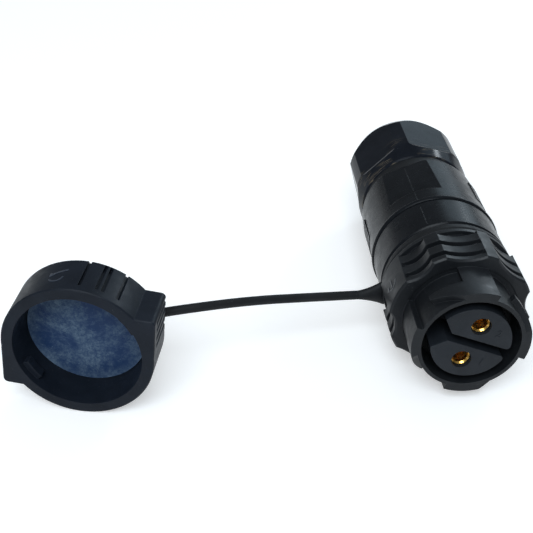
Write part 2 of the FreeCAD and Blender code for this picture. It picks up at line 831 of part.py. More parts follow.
def gland_nut():
    thread_r = GLAND_THREAD_R + RUNNING_FIT
    thread_back = NUT_FRONT + NUT_THREAD_LENGTH
    exit_front = NUT_BACK - NUT_EXIT_LENGTH
    cage_room = CAGE_R + FREE_GAP
    profile = [
        (thread_r, NUT_FRONT),
        (NUT_FRONT_R - NUT_EDGE, NUT_FRONT),
        (NUT_FRONT_R, NUT_FRONT + NUT_EDGE),
        (NUT_COLLAR_R, NUT_FRONT + NUT_COLLAR_AT),
        (NUT_R, NUT_FRONT + NUT_FLAT_AT),
        (NUT_R, NUT_BACK - NUT_CHAMFER),
        (NUT_END_R, NUT_BACK),
        (NUT_EXIT_R, NUT_BACK),
        (NUT_EXIT_R, exit_front),
        (CAGE_TIP_R + FREE_GAP, CAGE_BACK + FREE_GAP),
        (cage_room, thread_back),
        (thread_r, thread_back),
    ]
    body = turned(profile)
    flats = [nut_flat(NUT_TURN + 30 + 60 * index) for index in range(6)]
    return on_connector(one_solid(body.cut(flats)))


# Dust cap
def cap_outline():
    root, corner, side = EAR_ROOT, EAR_CORNER, EAR_SIDE
    blank = rod(CAP_R, 0, CAP_LENGTH)
    ears = []
    for turn in (0, 180):
        points = [V(0, 0, 0), root, corner, side]
        ear = Part.Face(Part.makePolygon(points + points[:1])).extrude(AXIS * CAP_LENGTH)
        ear = rounded(
            ear,
            EAR_CORNER_R,
            lambda edge: abs(edge.CenterOfMass.x - corner.x) < 1e-3 and edge.BoundBox.YLength > 1,
        )
        ears.append(about_axis(ear, turn))
    return one_solid(blank.fuse(ears))


def cap_cuts():
    low = CAP_R - PAD_CUT_DEPTH
    high = CAP_R + CUT_MARGIN
    cuts = []
    for turn in (0, 180):
        for angle in PAD_LINES:
            line = top_block(PAD_LINE_WIDTH, low, high, PAD_CUT_FRONT, CAP_LENGTH + CUT_MARGIN)
            cuts.append(about_axis(line, angle + turn))
        for angle in PAD_SLOTS:
            slot = top_block(PAD_SLOT_WIDTH, low, high, PAD_CUT_FRONT, PAD_CUT_BACK)
            cuts.append(about_axis(slot, angle + turn))
        for index in range(EAR_FLUTES):
            height = EAR_FIRST_FLUTE - index * EAR_FLUTE_PITCH
            share = height / EAR_CORNER.z
            side_x = EAR_SIDE.x + share * (EAR_CORNER.x - EAR_SIDE.x)
            flute = Part.makeCylinder(
                EAR_FLUTE_R, CAP_LENGTH, V(side_x + EAR_FLUTE_R / 4, PAD_CUT_FRONT, height), AXIS
            )
            cuts.append(about_axis(flute, turn))
    return cuts


def cap_shell():
    floor = GASKET_FACE + GASKET_THICKNESS
    body = cap_outline()
    body = bevelled(body, CAP_EDGE, lambda edge: flat_at(edge, CAP_LENGTH))
    body = bevelled(body, CAP_MOUTH_EDGE, lambda edge: flat_at(edge, 0))
    mouth = -CUT_MARGIN
    bore = turned([(0, mouth), (CAP_BORE_R, mouth), (CAP_BORE_R, 0), (CAP_SEAT_R, floor), (0, floor)])
    body = body.cut([bore] + cap_cuts())
    for turn in (0, 180):
        lug = sector(
            CAP_LUG_R,
            CAP_BORE_R + FUSE_DEPTH,
            CAP_LUG_FRONT,
            CAP_LUG_FRONT + CAP_LUG_LENGTH,
            CAP_LUG_FROM + turn,
            CAP_LUG_TO + turn,
        )
        body = body.fuse(lug)
    foot_front = CAP_LENGTH - BUTTON_FOOT - SLIP_FIT
    foot_hole = rod(BUTTON_FOOT_R + SLIP_FIT, foot_front, CAP_LENGTH + CUT_MARGIN)
    return on_cap(one_solid(body.cut(foot_hole)))


def cap_gasket():
    floor = GASKET_FACE + GASKET_THICKNESS
    return on_cap(rod(CAP_SEAT_R - RUNNING_FIT, GASKET_FACE, floor))


def cap_button():
    profile = [
        (0, CAP_LENGTH - BUTTON_FOOT),
        (BUTTON_FOOT_R, CAP_LENGTH - BUTTON_FOOT),
        (BUTTON_FOOT_R, CAP_LENGTH),
        (BUTTON_R, CAP_LENGTH),
        (BUTTON_R, BUTTON_HEAD_FRONT),
        (BUTTON_HEAD_R, BUTTON_HEAD_FRONT),
        (BUTTON_HEAD_R, BUTTON_HEAD_FRONT + BUTTON_HEAD / 2),
        (BUTTON_HEAD_R - BUTTON_HEAD / 2, BUTTON_HEAD_FRONT + BUTTON_HEAD),
        (0, BUTTON_HEAD_FRONT + BUTTON_HEAD),
    ]
    return on_cap(turned(profile))


def parts():
    made = {
        "front_housing": front_housing(),
        "contact_insert": contact_insert(),
        "interface_seal": interface_seal(),
        "insert_retainer": insert_retainer(),
        "housing_o_ring": housing_o_ring(),
        "tether_collar": tether_collar(),
        "tether_strap": tether_strap(),
        "tether_end_ring": tether_end_ring(),
        "rear_shell": rear_shell(),
        "neck_seal_ring": neck_seal_ring(),
        "gland_cage": gland_cage(),
        "gland_seal": gland_seal(),
        "gland_nut": gland_nut(),
        "cap_shell": cap_shell(),
        "cap_gasket": cap_gasket(),
        "cap_button": cap_button(),
    }
    for number, side in ((1, -1), (2, 1)):
        made[f"socket_contact_{number}"] = socket_contact(side)
        made[f"contact_spring_{number}"] = contact_spring(side)
        made[f"terminal_screw_{number}"] = terminal_screw(side)
    return made


def main():
    os.makedirs("parts", exist_ok=True)
    for name, shape in parts().items():
        shape.exportStep(f"parts/{name}.step")


main()
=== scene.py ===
import math

import bmesh
import bpy
from bpy.props import FloatProperty, FloatVectorProperty, PointerProperty
from bpy.types import Operator, Panel, PropertyGroup
from mathutils import Matrix, Vector


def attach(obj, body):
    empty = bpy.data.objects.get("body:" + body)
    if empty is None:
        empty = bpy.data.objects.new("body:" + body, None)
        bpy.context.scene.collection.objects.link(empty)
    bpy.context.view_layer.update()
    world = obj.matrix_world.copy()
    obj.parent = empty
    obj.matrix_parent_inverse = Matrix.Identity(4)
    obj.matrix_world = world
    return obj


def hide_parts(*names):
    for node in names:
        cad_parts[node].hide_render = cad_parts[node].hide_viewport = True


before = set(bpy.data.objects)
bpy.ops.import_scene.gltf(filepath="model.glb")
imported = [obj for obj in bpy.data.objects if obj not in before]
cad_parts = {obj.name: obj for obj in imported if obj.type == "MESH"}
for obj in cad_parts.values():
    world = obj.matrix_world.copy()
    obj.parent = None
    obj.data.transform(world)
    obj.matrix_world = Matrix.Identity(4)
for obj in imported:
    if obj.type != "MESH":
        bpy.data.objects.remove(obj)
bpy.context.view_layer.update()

bl_info = {
    "name": "Inline Socket Connector",
    "version": (1, 0, 0),
    "blender": (4, 5, 0),
    "location": "View3D > Sidebar > Connector",
    "description": "Finishes, strap, marks and stage for an inline socket and its dust cap",
    "category": "Add Mesh",
}

MM = 0.001

# Where the connector's front face and the cap's mouth are, and how they are turned
FRONT_CENTRE = (0.0, -0.039401, 0.015435)
CONNECTOR_TILT = math.radians(0.871)
CAP_MOUTH = (-0.08013, -0.03709, 0.0158)
CAP_TURN = math.radians(-11.5)
INSERT_TURN = math.radians(22.0)
CONNECTOR = Matrix.Translation(FRONT_CENTRE) @ Matrix.Rotation(-CONNECTOR_TILT, 4, "X")
CAP = Matrix.Translation(CAP_MOUTH) @ Matrix.Rotation(CAP_TURN, 4, "Z")

# The strap's route, as in the part's source
STRAP_ROUTE = [
    (-0.0200, -0.0174, 0.0130),
    (-0.0308, -0.0189, 0.0140),
    (-0.0439, -0.02245, 0.0164),
    (-0.0574, -0.0266, 0.0181),
    (-0.0661, -0.02775, 0.0177),
    (-0.0709, -0.02665, 0.0170),
]
STRAP_DIAMETER = 2.0 * MM

# The camera that took the photograph
CAMERA_PLACE = (-0.05345, -0.19647, 0.14356)
CAMERA_TURN = (math.radians(55.825), 0.0, math.radians(-4.165))
SENSOR_WIDTH = 36.0
CAMERA_NEAR = 10.0 * MM

# Each lamp's name, setting, place, size and tint. All of them face the same place.
LAMP_TARGET = (-0.03, 0.0, 0.015)
LAMPS = [
    ("window_lamp", "window_strength", (0.44, 0.58, 0.36), (0.62, 0.50), (0.66, 0.86, 1.0)),
    ("glint_lamp", "glint_strength", (0.41, 0.54, 0.34), (0.12, 0.06), (0.85, 0.93, 1.0)),
    ("top_lamp", "top_strength", (-0.10, -0.05, 0.90), (0.80, 0.80), (0.96, 0.98, 1.0)),
    ("front_lamp", "front_strength", (-0.20, -0.62, 0.78), (0.60, 0.50), (0.84, 0.93, 1.0)),
]
FLOOR_GLOW = 0.42

# Each metal's pair of nodes, its finish, its colour's setting and its roughness
METALS = [
    ("socket_contact_%d", "gold_finish", "gold_colour", 0.24),
    ("contact_spring_%d", "spring_finish", "bronze_colour", 0.30),
    ("terminal_screw_%d", "steel_finish", "steel_colour", 0.30),
]

# Wear, dust, painted highlights along edges, and painted streaks of reflected light on the nut
EDGE_RADIUS = 0.22 * MM
# Cosine of the angle between the surface and its softened self, on a flat and on an edge
FLAT_COSINE = 0.995
EDGE_COSINE = 0.80
PLASTIC_GRAIN_DEPTH = 0.04 * MM
METAL_GRAIN_DEPTH = 0.02 * MM
GASKET_GRAIN_DEPTH = 0.05 * MM
PLASTIC_DUST = (0.16, 0.17, 0.18)
STREAK_STRETCH = 16.0
STREAK_SHARE = 0.75
# From where to where along Y the nut's painted streaks of reflected light fade out
STREAKS_ALONG = (0.0245, 0.0285)
# How far from the cap's axis the chalk on the gasket's rim starts, and where it is thickest
CHALK_RIM = (10.5 * MM, 12.7 * MM)
CHALK_RIM_SHARE = 0.55

# The numbers beside the contacts: each digit with its place across the islands' face, and how
# far back that face is. A digit's height is a share of its font's size.
NUMBERS = [("1", 2.6 * MM, -5.1 * MM), ("2", 5.5 * MM, 1.9 * MM)]
ISLAND_FACE = 0.2 * MM
DIGIT_SHARE = 0.7

# Flat shapes are drawn this far above an axis, then projected down onto the piece
DRAWN_ABOVE = 18.0 * MM

# The mould's seam on the rear shell: its angles from the top, and its middle behind the front
SEAM_ANGLES = (-20.5, 159.5)
SEAM_MIDDLE = 39.6 * MM
SEAM_LENGTH = 28.6 * MM
SEAM_CUTS = 31

# The turning marks on the grip sleeve: a bar and an arrow that turns round it
SLEEVE_MARK_ANGLES = (-68.75, 111.25)
SLEEVE_MARK_MIDDLE = 14.6 * MM
SLEEVE_BAR_LENGTH = 2.6 * MM
SLEEVE_ARROW_R = 1.6 * MM
SLEEVE_ARROW_SWEEP = math.radians(200.0)

# The turning marks on the dust cap: a slanting bar, and an arrow that turns beside it
CAP_MARK_ANGLES = (-14.0, 166.0)
CAP_MARK_MIDDLE = 4.6 * MM
CAP_BAR_LENGTH = 3.4 * MM
CAP_BAR_TURN = math.radians(-70.0)
CAP_BAR_PLACE = (0.4 * MM, 1.5 * MM, 0.0)
CAP_ARROW_R = 1.5 * MM
CAP_ARROW_SWEEP = math.radians(150.0)
BAR_CUTS = 6
ARROW_STEPS = 18
ARROW_HEAD_SHARE = 2.2
ARROW_HEAD_CUTS = 4


def colour_property(name, description, default):
    return FloatVectorProperty(
        name=name,
        description=description,
        subtype="COLOR",
        size=3,
        min=0.0,
        max=1.0,
        default=default,
    )


def length_property(name, description, default):
    return FloatProperty(
        name=name,
        description=description,
        unit="LENGTH",
        subtype="DISTANCE",
        min=0.0,
        default=default,
    )


def strength_property(name, description, default):
    return FloatProperty(name=name, description=description, min=0.0, default=default)


class ConnectorStageSettings(PropertyGroup):
    floor_width: length_property("Floor width", "Width and depth of the plain floor", 60.0)
    floor_colour: colour_property("Floor", "Colour of the plain floor", (0.8, 0.8, 0.8))
    sky_colour: colour_property("Sky", "Colour of the soft light all round", (0.90, 0.96, 1.0))
    sky_strength: strength_property("Sky strength", "Strength of the soft light all round", 0.25)
    window_strength: strength_property("Window strength", "Brightness of the large back lamp", 1.4)
    glint_strength: strength_property("Glint strength", "Brightness of the small back lamp", 26.0)
    top_strength: strength_property("Top strength", "Brightness of the soft top lamp", 0.4)
    front_strength: strength_property("Front strength", "Brightness of the soft front lamp", 7.6)
    camera_lens: FloatProperty(
        name="Camera lens",
        description="Focal length of the camera in millimetres",
        min=1.0,
        default=67.71,
    )


class ConnectorFinishSettings(PropertyGroup):
    housing_colour: colour_property("Housing", "Front housing's plastic", (0.0080, 0.0092, 0.0110))
    shell_colour: colour_property("Rear shell", "Rear shell's plastic", (0.0045, 0.0055, 0.0072))
    nut_colour: colour_property("Gland nut", "Gland nut's plastic", (0.0072, 0.0088, 0.0125))
    # Colour of the painted streaks of reflected light on the gland nut, shaped like fine scuffs
    streak_reflection_colour: colour_property("Scuffs", "Fine scuffs round the gland nut", (0.17, 0.14, 0.10))
    cap_colour: colour_property("Dust cap", "Dust cap's plastic", (0.0066, 0.0092, 0.0145))
    insert_colour: colour_property("Insert", "Contact insert's plastic", (0.0095, 0.0118, 0.0155))
    rubber_colour: colour_property("Rubber", "Strap, collar and seals", (0.007, 0.0078, 0.009))
    gasket_colour: colour_property("Gasket", "Cap's gasket where clean", (0.017, 0.040, 0.104))
    chalk_colour: colour_property("Chalk", "Dust on the cap's gasket", (0.115, 0.168, 0.235))
    gold_colour: colour_property("Gold plate", "Gold plate of the contacts", (0.93, 0.56, 0.14))
    bronze_colour: colour_property("Bronze", "Springs inside the contacts", (1.0, 0.76, 0.36))
    steel_colour: colour_property("Steel", "Terminal screws", (0.56, 0.57, 0.58))


class ConnectorDetailSettings(PropertyGroup):
    number_height: length_property("Number height", "Height of the contact numbers", 1.65 * MM)
    number_relief: length_property("Number relief", "How far the numbers stand out", 0.08 * MM)
    mark_stroke: length_property("Mark stroke", "Width of the turning marks' strokes", 0.34 * MM)
    mark_relief: length_property("Mark relief", "How far the turning marks stand out", 0.1 * MM)
    seam_width: length_property("Seam width", "Width of the mould's seam", 0.15 * MM)
    seam_relief: length_property("Seam relief", "Height of the mould's seam", 0.04 * MM)


# Helpers for pieces
def start_clean():
    if bpy.context.object is not None and bpy.context.object.mode != "OBJECT":
        bpy.ops.object.mode_set(mode="OBJECT")
    bpy.ops.object.select_all(action="DESELECT")


def only(piece):
    start_clean()
    piece.select_set(True)
    bpy.context.view_layer.objects.active = piece


def settle(piece):
    only(piece)
    bpy.ops.object.transform_apply(location=True, rotation=True, scale=True)


def apply_modifiers(piece):
    only(piece)
    for modifier in list(piece.modifiers):
        bpy.ops.object.modifier_apply(modifier=modifier.name)


def join(pieces, name):
    only(pieces[0])
    for piece in pieces[1:]:
        piece.select_set(True)
    bpy.ops.object.join()
    joined = bpy.context.object
    joined.name = name
    return joined


# Two thirds of the wall stand out of the surface, and the rest is sunk in it
def wrap_onto(piece, node_name, relief):
    wrap = piece.modifiers.new("Wrap", "SHRINKWRAP")
    wrap.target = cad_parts[node_name]
    wrap.wrap_method = "PROJECT"
    wrap.use_project_z = True
    wrap.use_positive_direction = False
    wrap.use_negative_direction = True
    wall = piece.modifiers.new("Wall", "SOLIDIFY")
    wall.thickness = 1.5 * relief
    wall.offset = 1.0 / 3.0
    apply_modifiers(piece)


def dress(names, finish):
    for name in names:
        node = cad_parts[name]
        if not node.material_slots:
            node.data.materials.append(finish)
        for slot in node.material_slots:
            slot.material = finish


def give_finish(piece, finish):
    piece.data.materials.clear()
    piece.data.materials.append(finish)


# Helpers for finishes
def add_node(tree, kind, **values):
    made = tree.nodes.new(kind)
    for key, value in values.items():
        if hasattr(made, key):
            setattr(made, key, value)
        else:
            made.inputs[key.replace("_", " ")].default_value = value
    return made


def empty_finish(name):
    finish = bpy.data.materials.new(name)
    finish.use_nodes = True
    tree = finish.node_tree
    tree.nodes.clear()
    shader = add_node(tree, "ShaderNodeBsdfPrincipled")
    output = add_node(tree, "ShaderNodeOutputMaterial")
    tree.links.new(shader.outputs["BSDF"], output.inputs["Surface"])
    place = add_node(tree, "ShaderNodeTexCoord").outputs["Object"]
    return finish, tree, shader, place


def noise(tree, place, scale, detail=3.0, roughness=0.5, distortion=0.0):
    made = add_node(
        tree,
        "ShaderNodeTexNoise",
        Scale=scale,
        Detail=detail,
        Roughness=roughness,
        Distortion=distortion,
    )
    tree.links.new(place, made.inputs["Vector"])
    return made.outputs["Fac"]


def spread(tree, value, low, high, to_low=0.0, to_high=1.0):
    made = add_node(
        tree, "ShaderNodeMapRange", From_Min=low, From_Max=high, To_Min=to_low, To_Max=to_high
    )
    tree.links.new(value, made.inputs["Value"])
    return made.outputs["Result"]


def multiply(tree, first, second):
    made = add_node(tree, "ShaderNodeMath", operation="MULTIPLY")
    tree.links.new(first, made.inputs[0])
    if isinstance(second, (int, float)):
        made.inputs[1].default_value = second
    else:
        tree.links.new(second, made.inputs[1])
    return made.outputs[0]


def blend(tree, share, first, second):
    made = add_node(tree, "ShaderNodeMix", data_type="RGBA")
    tree.links.new(share, made.inputs["Factor"])
    for socket, colour in ((made.inputs[6], first), (made.inputs[7], second)):
        if isinstance(colour, bpy.types.NodeSocket):
            tree.links.new(colour, socket)
        else:
            socket.default_value = (*colour, 1.0)
    return made.outputs[2]


def edge_share(tree, radius):
    softened = add_node(tree, "ShaderNodeBevel", samples=6, Radius=radius)
    surface = add_node(tree, "ShaderNodeNewGeometry")
    dot = add_node(tree, "ShaderNodeVectorMath", operation="DOT_PRODUCT")
    tree.links.new(softened.outputs["Normal"], dot.inputs[0])
    tree.links.new(surface.outputs["Normal"], dot.inputs[1])
    share = spread(tree, dot.outputs["Value"], FLAT_COSINE, EDGE_COSINE)
    return share, softened.outputs["Normal"]


def grain(tree, place, shader, scale, strength, depth, base_normal=None):
    bump = add_node(tree, "ShaderNodeBump", Strength=strength, Distance=depth)
    tree.links.new(noise(tree, place, scale, roughness=0.6), bump.inputs["Height"])
    if base_normal is not None:
        tree.links.new(base_normal, bump.inputs["Normal"])
    tree.links.new(bump.outputs["Normal"], shader.inputs["Normal"])


def lighter(colour, factor, lift=0.0):
    return tuple(min(1.0, channel * factor + lift) for channel in colour)


# A worn, slightly dusty moulding whose edges are painted lighter in patches, partly rub wear and
# partly painted highlight. How rough it is varies by the smear either way.
def moulded_plastic(
    name, colour, roughness, smear, grain_scale, grain_strength, shine=0.24, edge_wear_and_highlight=0.35, dust=0.25
):
    made = bpy.data.materials.get(name)
    if made is not None:
        return made
    finish, tree, shader, place = empty_finish(name)
    clouds = noise(tree, place, scale=110.0, detail=5.0, roughness=0.6, distortion=0.4)
    light_tone = lighter(colour, 1.45, lift=0.002)
    tone = blend(tree, spread(tree, clouds, 0.35, 0.65), colour, light_tone)
    edge, soft_normal = edge_share(tree, EDGE_RADIUS)
    edge_patches = noise(tree, place, scale=700.0, detail=4.0, roughness=0.7)
    # Painted highlight mixed with rub wear: every edge, convex or concave, is lightened in noisy
    # patches
    worn_and_highlit_edge = multiply(tree, edge, spread(tree, edge_patches, 0.35, 0.62, 0.15, edge_wear_and_highlight))
    tone = blend(tree, worn_and_highlit_edge, tone, lighter(colour, 3.2, lift=0.03))
    specks = noise(tree, place, scale=2600.0, detail=2.0, roughness=0.8)
    tone = blend(tree, spread(tree, specks, 0.68, 0.76, 0.0, dust), tone, PLASTIC_DUST)
    tree.links.new(tone, shader.inputs["Base Color"])
    smears = noise(tree, place, scale=260.0, detail=4.0, roughness=0.65, distortion=0.8)
    varied = spread(tree, smears, 0.35, 0.65, roughness - smear, roughness + smear)
    tree.links.new(varied, shader.inputs["Roughness"])
    shader.inputs["Specular IOR Level"].default_value = shine
    grain(tree, place, shader, grain_scale, grain_strength, PLASTIC_GRAIN_DEPTH, soft_normal)
    return finish


# Painted streaks of reflected light, shaped like fine scuffs, that run round the nut near its
# collar
def paint_reflection_streaks(finish, colour):
    tree = finish.node_tree
    shader = next(node for node in tree.nodes if node.type == "BSDF_PRINCIPLED")
    tone = shader.inputs["Base Color"].links[0].from_socket
    place = next(node for node in tree.nodes if node.type == "TEX_COORD").outputs["Object"]
    stretch = (1.0, STREAK_STRETCH, 1.0)
    stretched = add_node(tree, "ShaderNodeMapping", vector_type="POINT", Scale=stretch)
    tree.links.new(place, stretched.inputs["Vector"])
    lines = noise(tree, stretched.outputs["Vector"], scale=240.0, roughness=0.6)
    streaks = spread(tree, lines, 0.55, 0.64, 0.0, STREAK_SHARE)
    patches = spread(tree, noise(tree, place, scale=150.0, detail=2.0), 0.47, 0.56)
    parts = add_node(tree, "ShaderNodeSeparateXYZ")
    tree.links.new(place, parts.inputs["Vector"])
    near_collar = spread(tree, parts.outputs["Y"], *STREAKS_ALONG, 1.0, 0.0)
    streaks_shown = multiply(tree, multiply(tree, streaks, patches), near_collar)
    tree.links.new(blend(tree, streaks_shown, tone, colour), shader.inputs["Base Color"])


def plated_metal(name, colour, roughness):
    finish, tree, shader, place = empty_finish(name)
    clouds = noise(tree, place, scale=900.0, detail=4.0, roughness=0.6)
    tone = blend(tree, spread(tree, clouds, 0.35, 0.65), colour, lighter(colour, 0.72))
    tree.links.new(tone, shader.inputs["Base Color"])
    shader.inputs["Metallic"].default_value = 1.0
    smears = noise(tree, place, scale=2100.0)
    varied = spread(tree, smears, 0.3, 0.7, roughness * 0.7, roughness * 1.5)
    tree.links.new(varied, shader.inputs["Roughness"])
    grain(tree, place, shader, scale=5200.0, strength=0.12, depth=METAL_GRAIN_DEPTH)
    return finish


def dusty_gasket(name, colour, chalk):
    finish, tree, shader, place = empty_finish(name)
    centred = add_node(tree, "ShaderNodeMapping", vector_type="POINT")
    centred.inputs["Location"].default_value = tuple(-c for c in CAP_MOUTH)
    tree.links.new(place, centred.inputs["Vector"])
    across = add_node(tree, "ShaderNodeVectorMath", operation="CROSS_PRODUCT")
    tree.links.new(centred.outputs["Vector"], across.inputs[0])
    across.inputs[1].default_value = CAP.to_3x3() @ Vector((0.0, 1.0, 0.0))
    radius = add_node(tree, "ShaderNodeVectorMath", operation="LENGTH")
    tree.links.new(across.outputs["Vector"], radius.inputs[0])
    rim = spread(tree, radius.outputs["Value"], *CHALK_RIM, 0.0, CHALK_RIM_SHARE)
    clouds = noise(tree, place, scale=95.0, detail=9.0, roughness=0.76, distortion=0.3)
    smudges = spread(tree, clouds, 0.45, 0.60)
    threads = noise(tree, place, scale=1300.0, roughness=0.8)
    weave = spread(tree, threads, 0.35, 0.65, 0.25, 1.0)
    tone = blend(tree, multiply(tree, smudges, weave), colour, chalk)
    tone = blend(tree, multiply(tree, rim, weave), tone, lighter(chalk, 1.1))
    specks = noise(tree, place, scale=2400.0, detail=2.0, roughness=0.8)
    tone = blend(tree, spread(tree, specks, 0.70, 0.76, 0.0, 0.7), tone, lighter(chalk, 2.0))
    tree.links.new(tone, shader.inputs["Base Color"])
    tree.links.new(spread(tree, smudges, 0.0, 0.85, 0.42, 0.75), shader.inputs["Roughness"])
    shader.inputs["Specular IOR Level"].default_value = 0.12
    grain(tree, place, shader, scale=1400.0, strength=0.25, depth=GASKET_GRAIN_DEPTH)
    return finish


# Stage
def area_lamp(name, brightness, place, size, tint):
    bpy.ops.object.light_add(type="AREA", location=place)
    lamp = bpy.context.object
    lamp.name = name
    lamp.data.shape = "RECTANGLE"
    lamp.data.size, lamp.data.size_y = size
    lamp.data.energy = brightness * math.pi * size[0] * size[1]
    lamp.data.color = tint
    lamp.rotation_euler = (Vector(LAMP_TARGET) - Vector(place)).to_track_quat("-Z", "Y").to_euler()
    lamp.visible_camera = False


# The floor's glow shows to the camera and in reflections, and doesn't light the part
def floor_finish(colour):
    finish, tree, shader, place = empty_finish("pale_floor")
    clouds = spread(tree, noise(tree, place, scale=3.0), 0.3, 0.7)
    tree.links.new(blend(tree, clouds, colour, lighter(colour, 1.01)), shader.inputs["Base Color"])
    shader.inputs["Roughness"].default_value = 0.9
    shader.inputs["Specular IOR Level"].default_value = 0.1
    rays = add_node(tree, "ShaderNodeLightPath")
    seen = add_node(tree, "ShaderNodeMath", operation="MAXIMUM")
    tree.links.new(rays.outputs["Is Camera Ray"], seen.inputs[0])
    tree.links.new(rays.outputs["Is Glossy Ray"], seen.inputs[1])
    shown = add_node(tree, "ShaderNodeMath", operation="MAXIMUM")
    tree.links.new(seen.outputs[0], shown.inputs[0])
    tree.links.new(rays.outputs["Is Transmission Ray"], shown.inputs[1])
    shader.inputs["Emission Color"].default_value = (1.0, 1.0, 1.0, 1.0)
    glow = multiply(tree, shown.outputs[0], FLOOR_GLOW)
    tree.links.new(glow, shader.inputs["Emission Strength"])
    return finish


class ConnectorStage(Operator):
    """Lay the floor, hang the lamps and set up the camera"""

    bl_idname = "connector.stage"
    bl_label = "Stage"

    def execute(self, context):
        settings = context.scene.connector_stage
        start_clean()
        bpy.ops.mesh.primitive_plane_add(size=settings.floor_width, location=(0.0, 0.0, 0.0))
        floor = context.object
        floor.name = "floor"
        floor.data.materials.append(floor_finish(settings.floor_colour))
        for name, setting, place, size, tint in LAMPS:
            area_lamp(name, getattr(settings, setting), place, size, tint)
        world = bpy.data.worlds.new("soft_sky")
        world.use_nodes = True
        sky = world.node_tree.nodes["Background"]
        sky.inputs["Color"].default_value = (*settings.sky_colour, 1.0)
        sky.inputs["Strength"].default_value = settings.sky_strength
        context.scene.world = world
        bpy.ops.object.camera_add(location=CAMERA_PLACE, rotation=CAMERA_TURN)
        camera = context.object
        camera.name = "photo_camera"
        camera.data.lens = settings.camera_lens
        camera.data.sensor_width = SENSOR_WIDTH
        camera.data.clip_start = CAMERA_NEAR
        context.scene.camera = camera
        context.scene.view_settings.view_transform = "Standard"
        return {"FINISHED"}


# Strap
class ConnectorStrap(Operator):
    """Lay the round rubber strap from the collar to the dust cap"""

    bl_idname = "connector.strap"
    bl_label = "Strap"

    def execute(self, context):
        finishes = context.scene.connector_finish
        start_clean()
        bpy.ops.curve.primitive_nurbs_path_add(location=(0.0, 0.0, 0.0))
        strap = context.object
        strap.name = "strap"
        curve = strap.data
        curve.splines.clear()
        line = curve.splines.new("NURBS")
        line.points.add(len(STRAP_ROUTE) - 1)
        for point, place in zip(line.points, STRAP_ROUTE):
            point.co = (*place, 1.0)
        line.order_u = 3
        line.use_endpoint_u = True
        line.resolution_u = 16
        curve.dimensions = "3D"
        curve.resolution_u = 16
        curve.bevel_depth = STRAP_DIAMETER / 2
        curve.bevel_resolution = 8
        curve.use_fill_caps = True
        curve.materials.clear()
        curve.materials.append(rubber_finish(finishes))
        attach(strap, "connector")
        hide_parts("tether_strap")
        return {"FINISHED"}


# Finishes
def rubber_finish(finishes):
    return moulded_plastic(
        "black_rubber_finish",
        finishes.rubber_colour,
        roughness=0.56,
        smear=0.06,
        grain_scale=1800.0,
        grain_strength=0.30,
        shine=0.20,
        edge_wear_and_highlight=0.25,
        dust=0.35,
    )


def insert_finish(finishes):
    return moulded_plastic(
        "insert_finish",
        finishes.insert_colour,
        roughness=0.55,
        smear=0.05,
        grain_scale=2400.0,
        grain_strength=0.30,
        shine=0.22,
        edge_wear_and_highlight=0.30,
        dust=0.20,
    )


def housing_finish(finishes):
    return moulded_plastic(
        "housing_finish",
        finishes.housing_colour,
        roughness=0.44,
        smear=0.07,
        grain_scale=3000.0,
        grain_strength=0.35,
        shine=0.20,
        edge_wear_and_highlight=0.40,
        dust=0.30,
    )


def shell_finish(finishes):
    return moulded_plastic(
        "shell_finish",
        finishes.shell_colour,
        roughness=0.28,
        smear=0.07,
        grain_scale=3400.0,
        grain_strength=0.16,
        shine=0.10,
        edge_wear_and_highlight=0.30,
        dust=0.25,
    )


def cap_finish(finishes):
    return moulded_plastic(
        "cap_finish",
        finishes.cap_colour,
        roughness=0.46,
        smear=0.07,
        grain_scale=2800.0,
        grain_strength=0.40,
        shine=0.12,
        edge_wear_and_highlight=0.35,
        dust=0.30,
    )


def nut_finish(finishes):
    made = moulded_plastic(
        "nut_finish",
        finishes.nut_colour,
        roughness=0.16,
        smear=0.05,
        grain_scale=3800.0,
        grain_strength=0.08,
        shine=0.036,
        edge_wear_and_highlight=0.25,
        dust=0.20,
    )
    # Painted streaks of reflected light, shaped like fine scuffs, near the nut's collar
    paint_reflection_streaks(made, finishes.streak_reflection_colour)
    return made


def cage_finish(finishes):
    return moulded_plastic(
        "cage_finish",
        lighter(finishes.insert_colour, 1.4),
        roughness=0.50,
        smear=0.05,
        grain_scale=2600.0,
        grain_strength=0.25,
    )


# Raised marks are rubbed lighter and smoother than the plastic round them
def mark_finish(name, colour):
    return moulded_plastic(
        name,
        lighter(colour, 2.4, 0.006),
        roughness=0.36,
        smear=0.05,
        grain_scale=3000.0,
        grain_strength=0.20,
        shine=0.30,
        edge_wear_and_highlight=0.45,
        dust=0.20,
    )


class ConnectorPlastics(Operator):
    """Give the moulded plastic parts their finishes"""

    bl_idname = "connector.plastics"
    bl_label = "Plastic finishes"

    def execute(self, context):
        finishes = context.scene.connector_finish
        dress(["front_housing"], housing_finish(finishes))
        dress(["contact_insert"], insert_finish(finishes))
        dress(["rear_shell"], shell_finish(finishes))
        dress(["cap_shell", "cap_button"], cap_finish(finishes))
        dress(["gland_nut"], nut_finish(finishes))
        dress(["gland_cage", "insert_retainer"], cage_finish(finishes))
        return {"FINISHED"}


class ConnectorRubber(Operator):
    """Give the collar, rings and seals their rubber finish, and the gasket its dusty blue"""

    bl_idname = "connector.rubber"
    bl_label = "Rubber finishes"

    def execute(self, context):
        finishes = context.scene.connector_finish
        names = [
            "tether_collar",
            "tether_end_ring",
            "tether_strap",
            "neck_seal_ring",
            "gland_seal",
            "housing_o_ring",
            "interface_seal",
        ]
        dress(names, rubber_finish(finishes))
        gasket = dusty_gasket("gasket_finish", finishes.gasket_colour, finishes.chalk_colour)
        dress(["cap_gasket"], gasket)
        return {"FINISHED"}


class ConnectorMetals(Operator):
    """Give the contacts, their springs and the terminal screws their metal finishes"""

    bl_idname = "connector.metals"
    bl_label = "Metal finishes"

    def execute(self, context):
        finishes = context.scene.connector_finish
        for nodes, name, setting, roughness in METALS:
            finish = plated_metal(name, getattr(finishes, setting), roughness)
            dress([nodes % number for number in (1, 2)], finish)
        return {"FINISHED"}


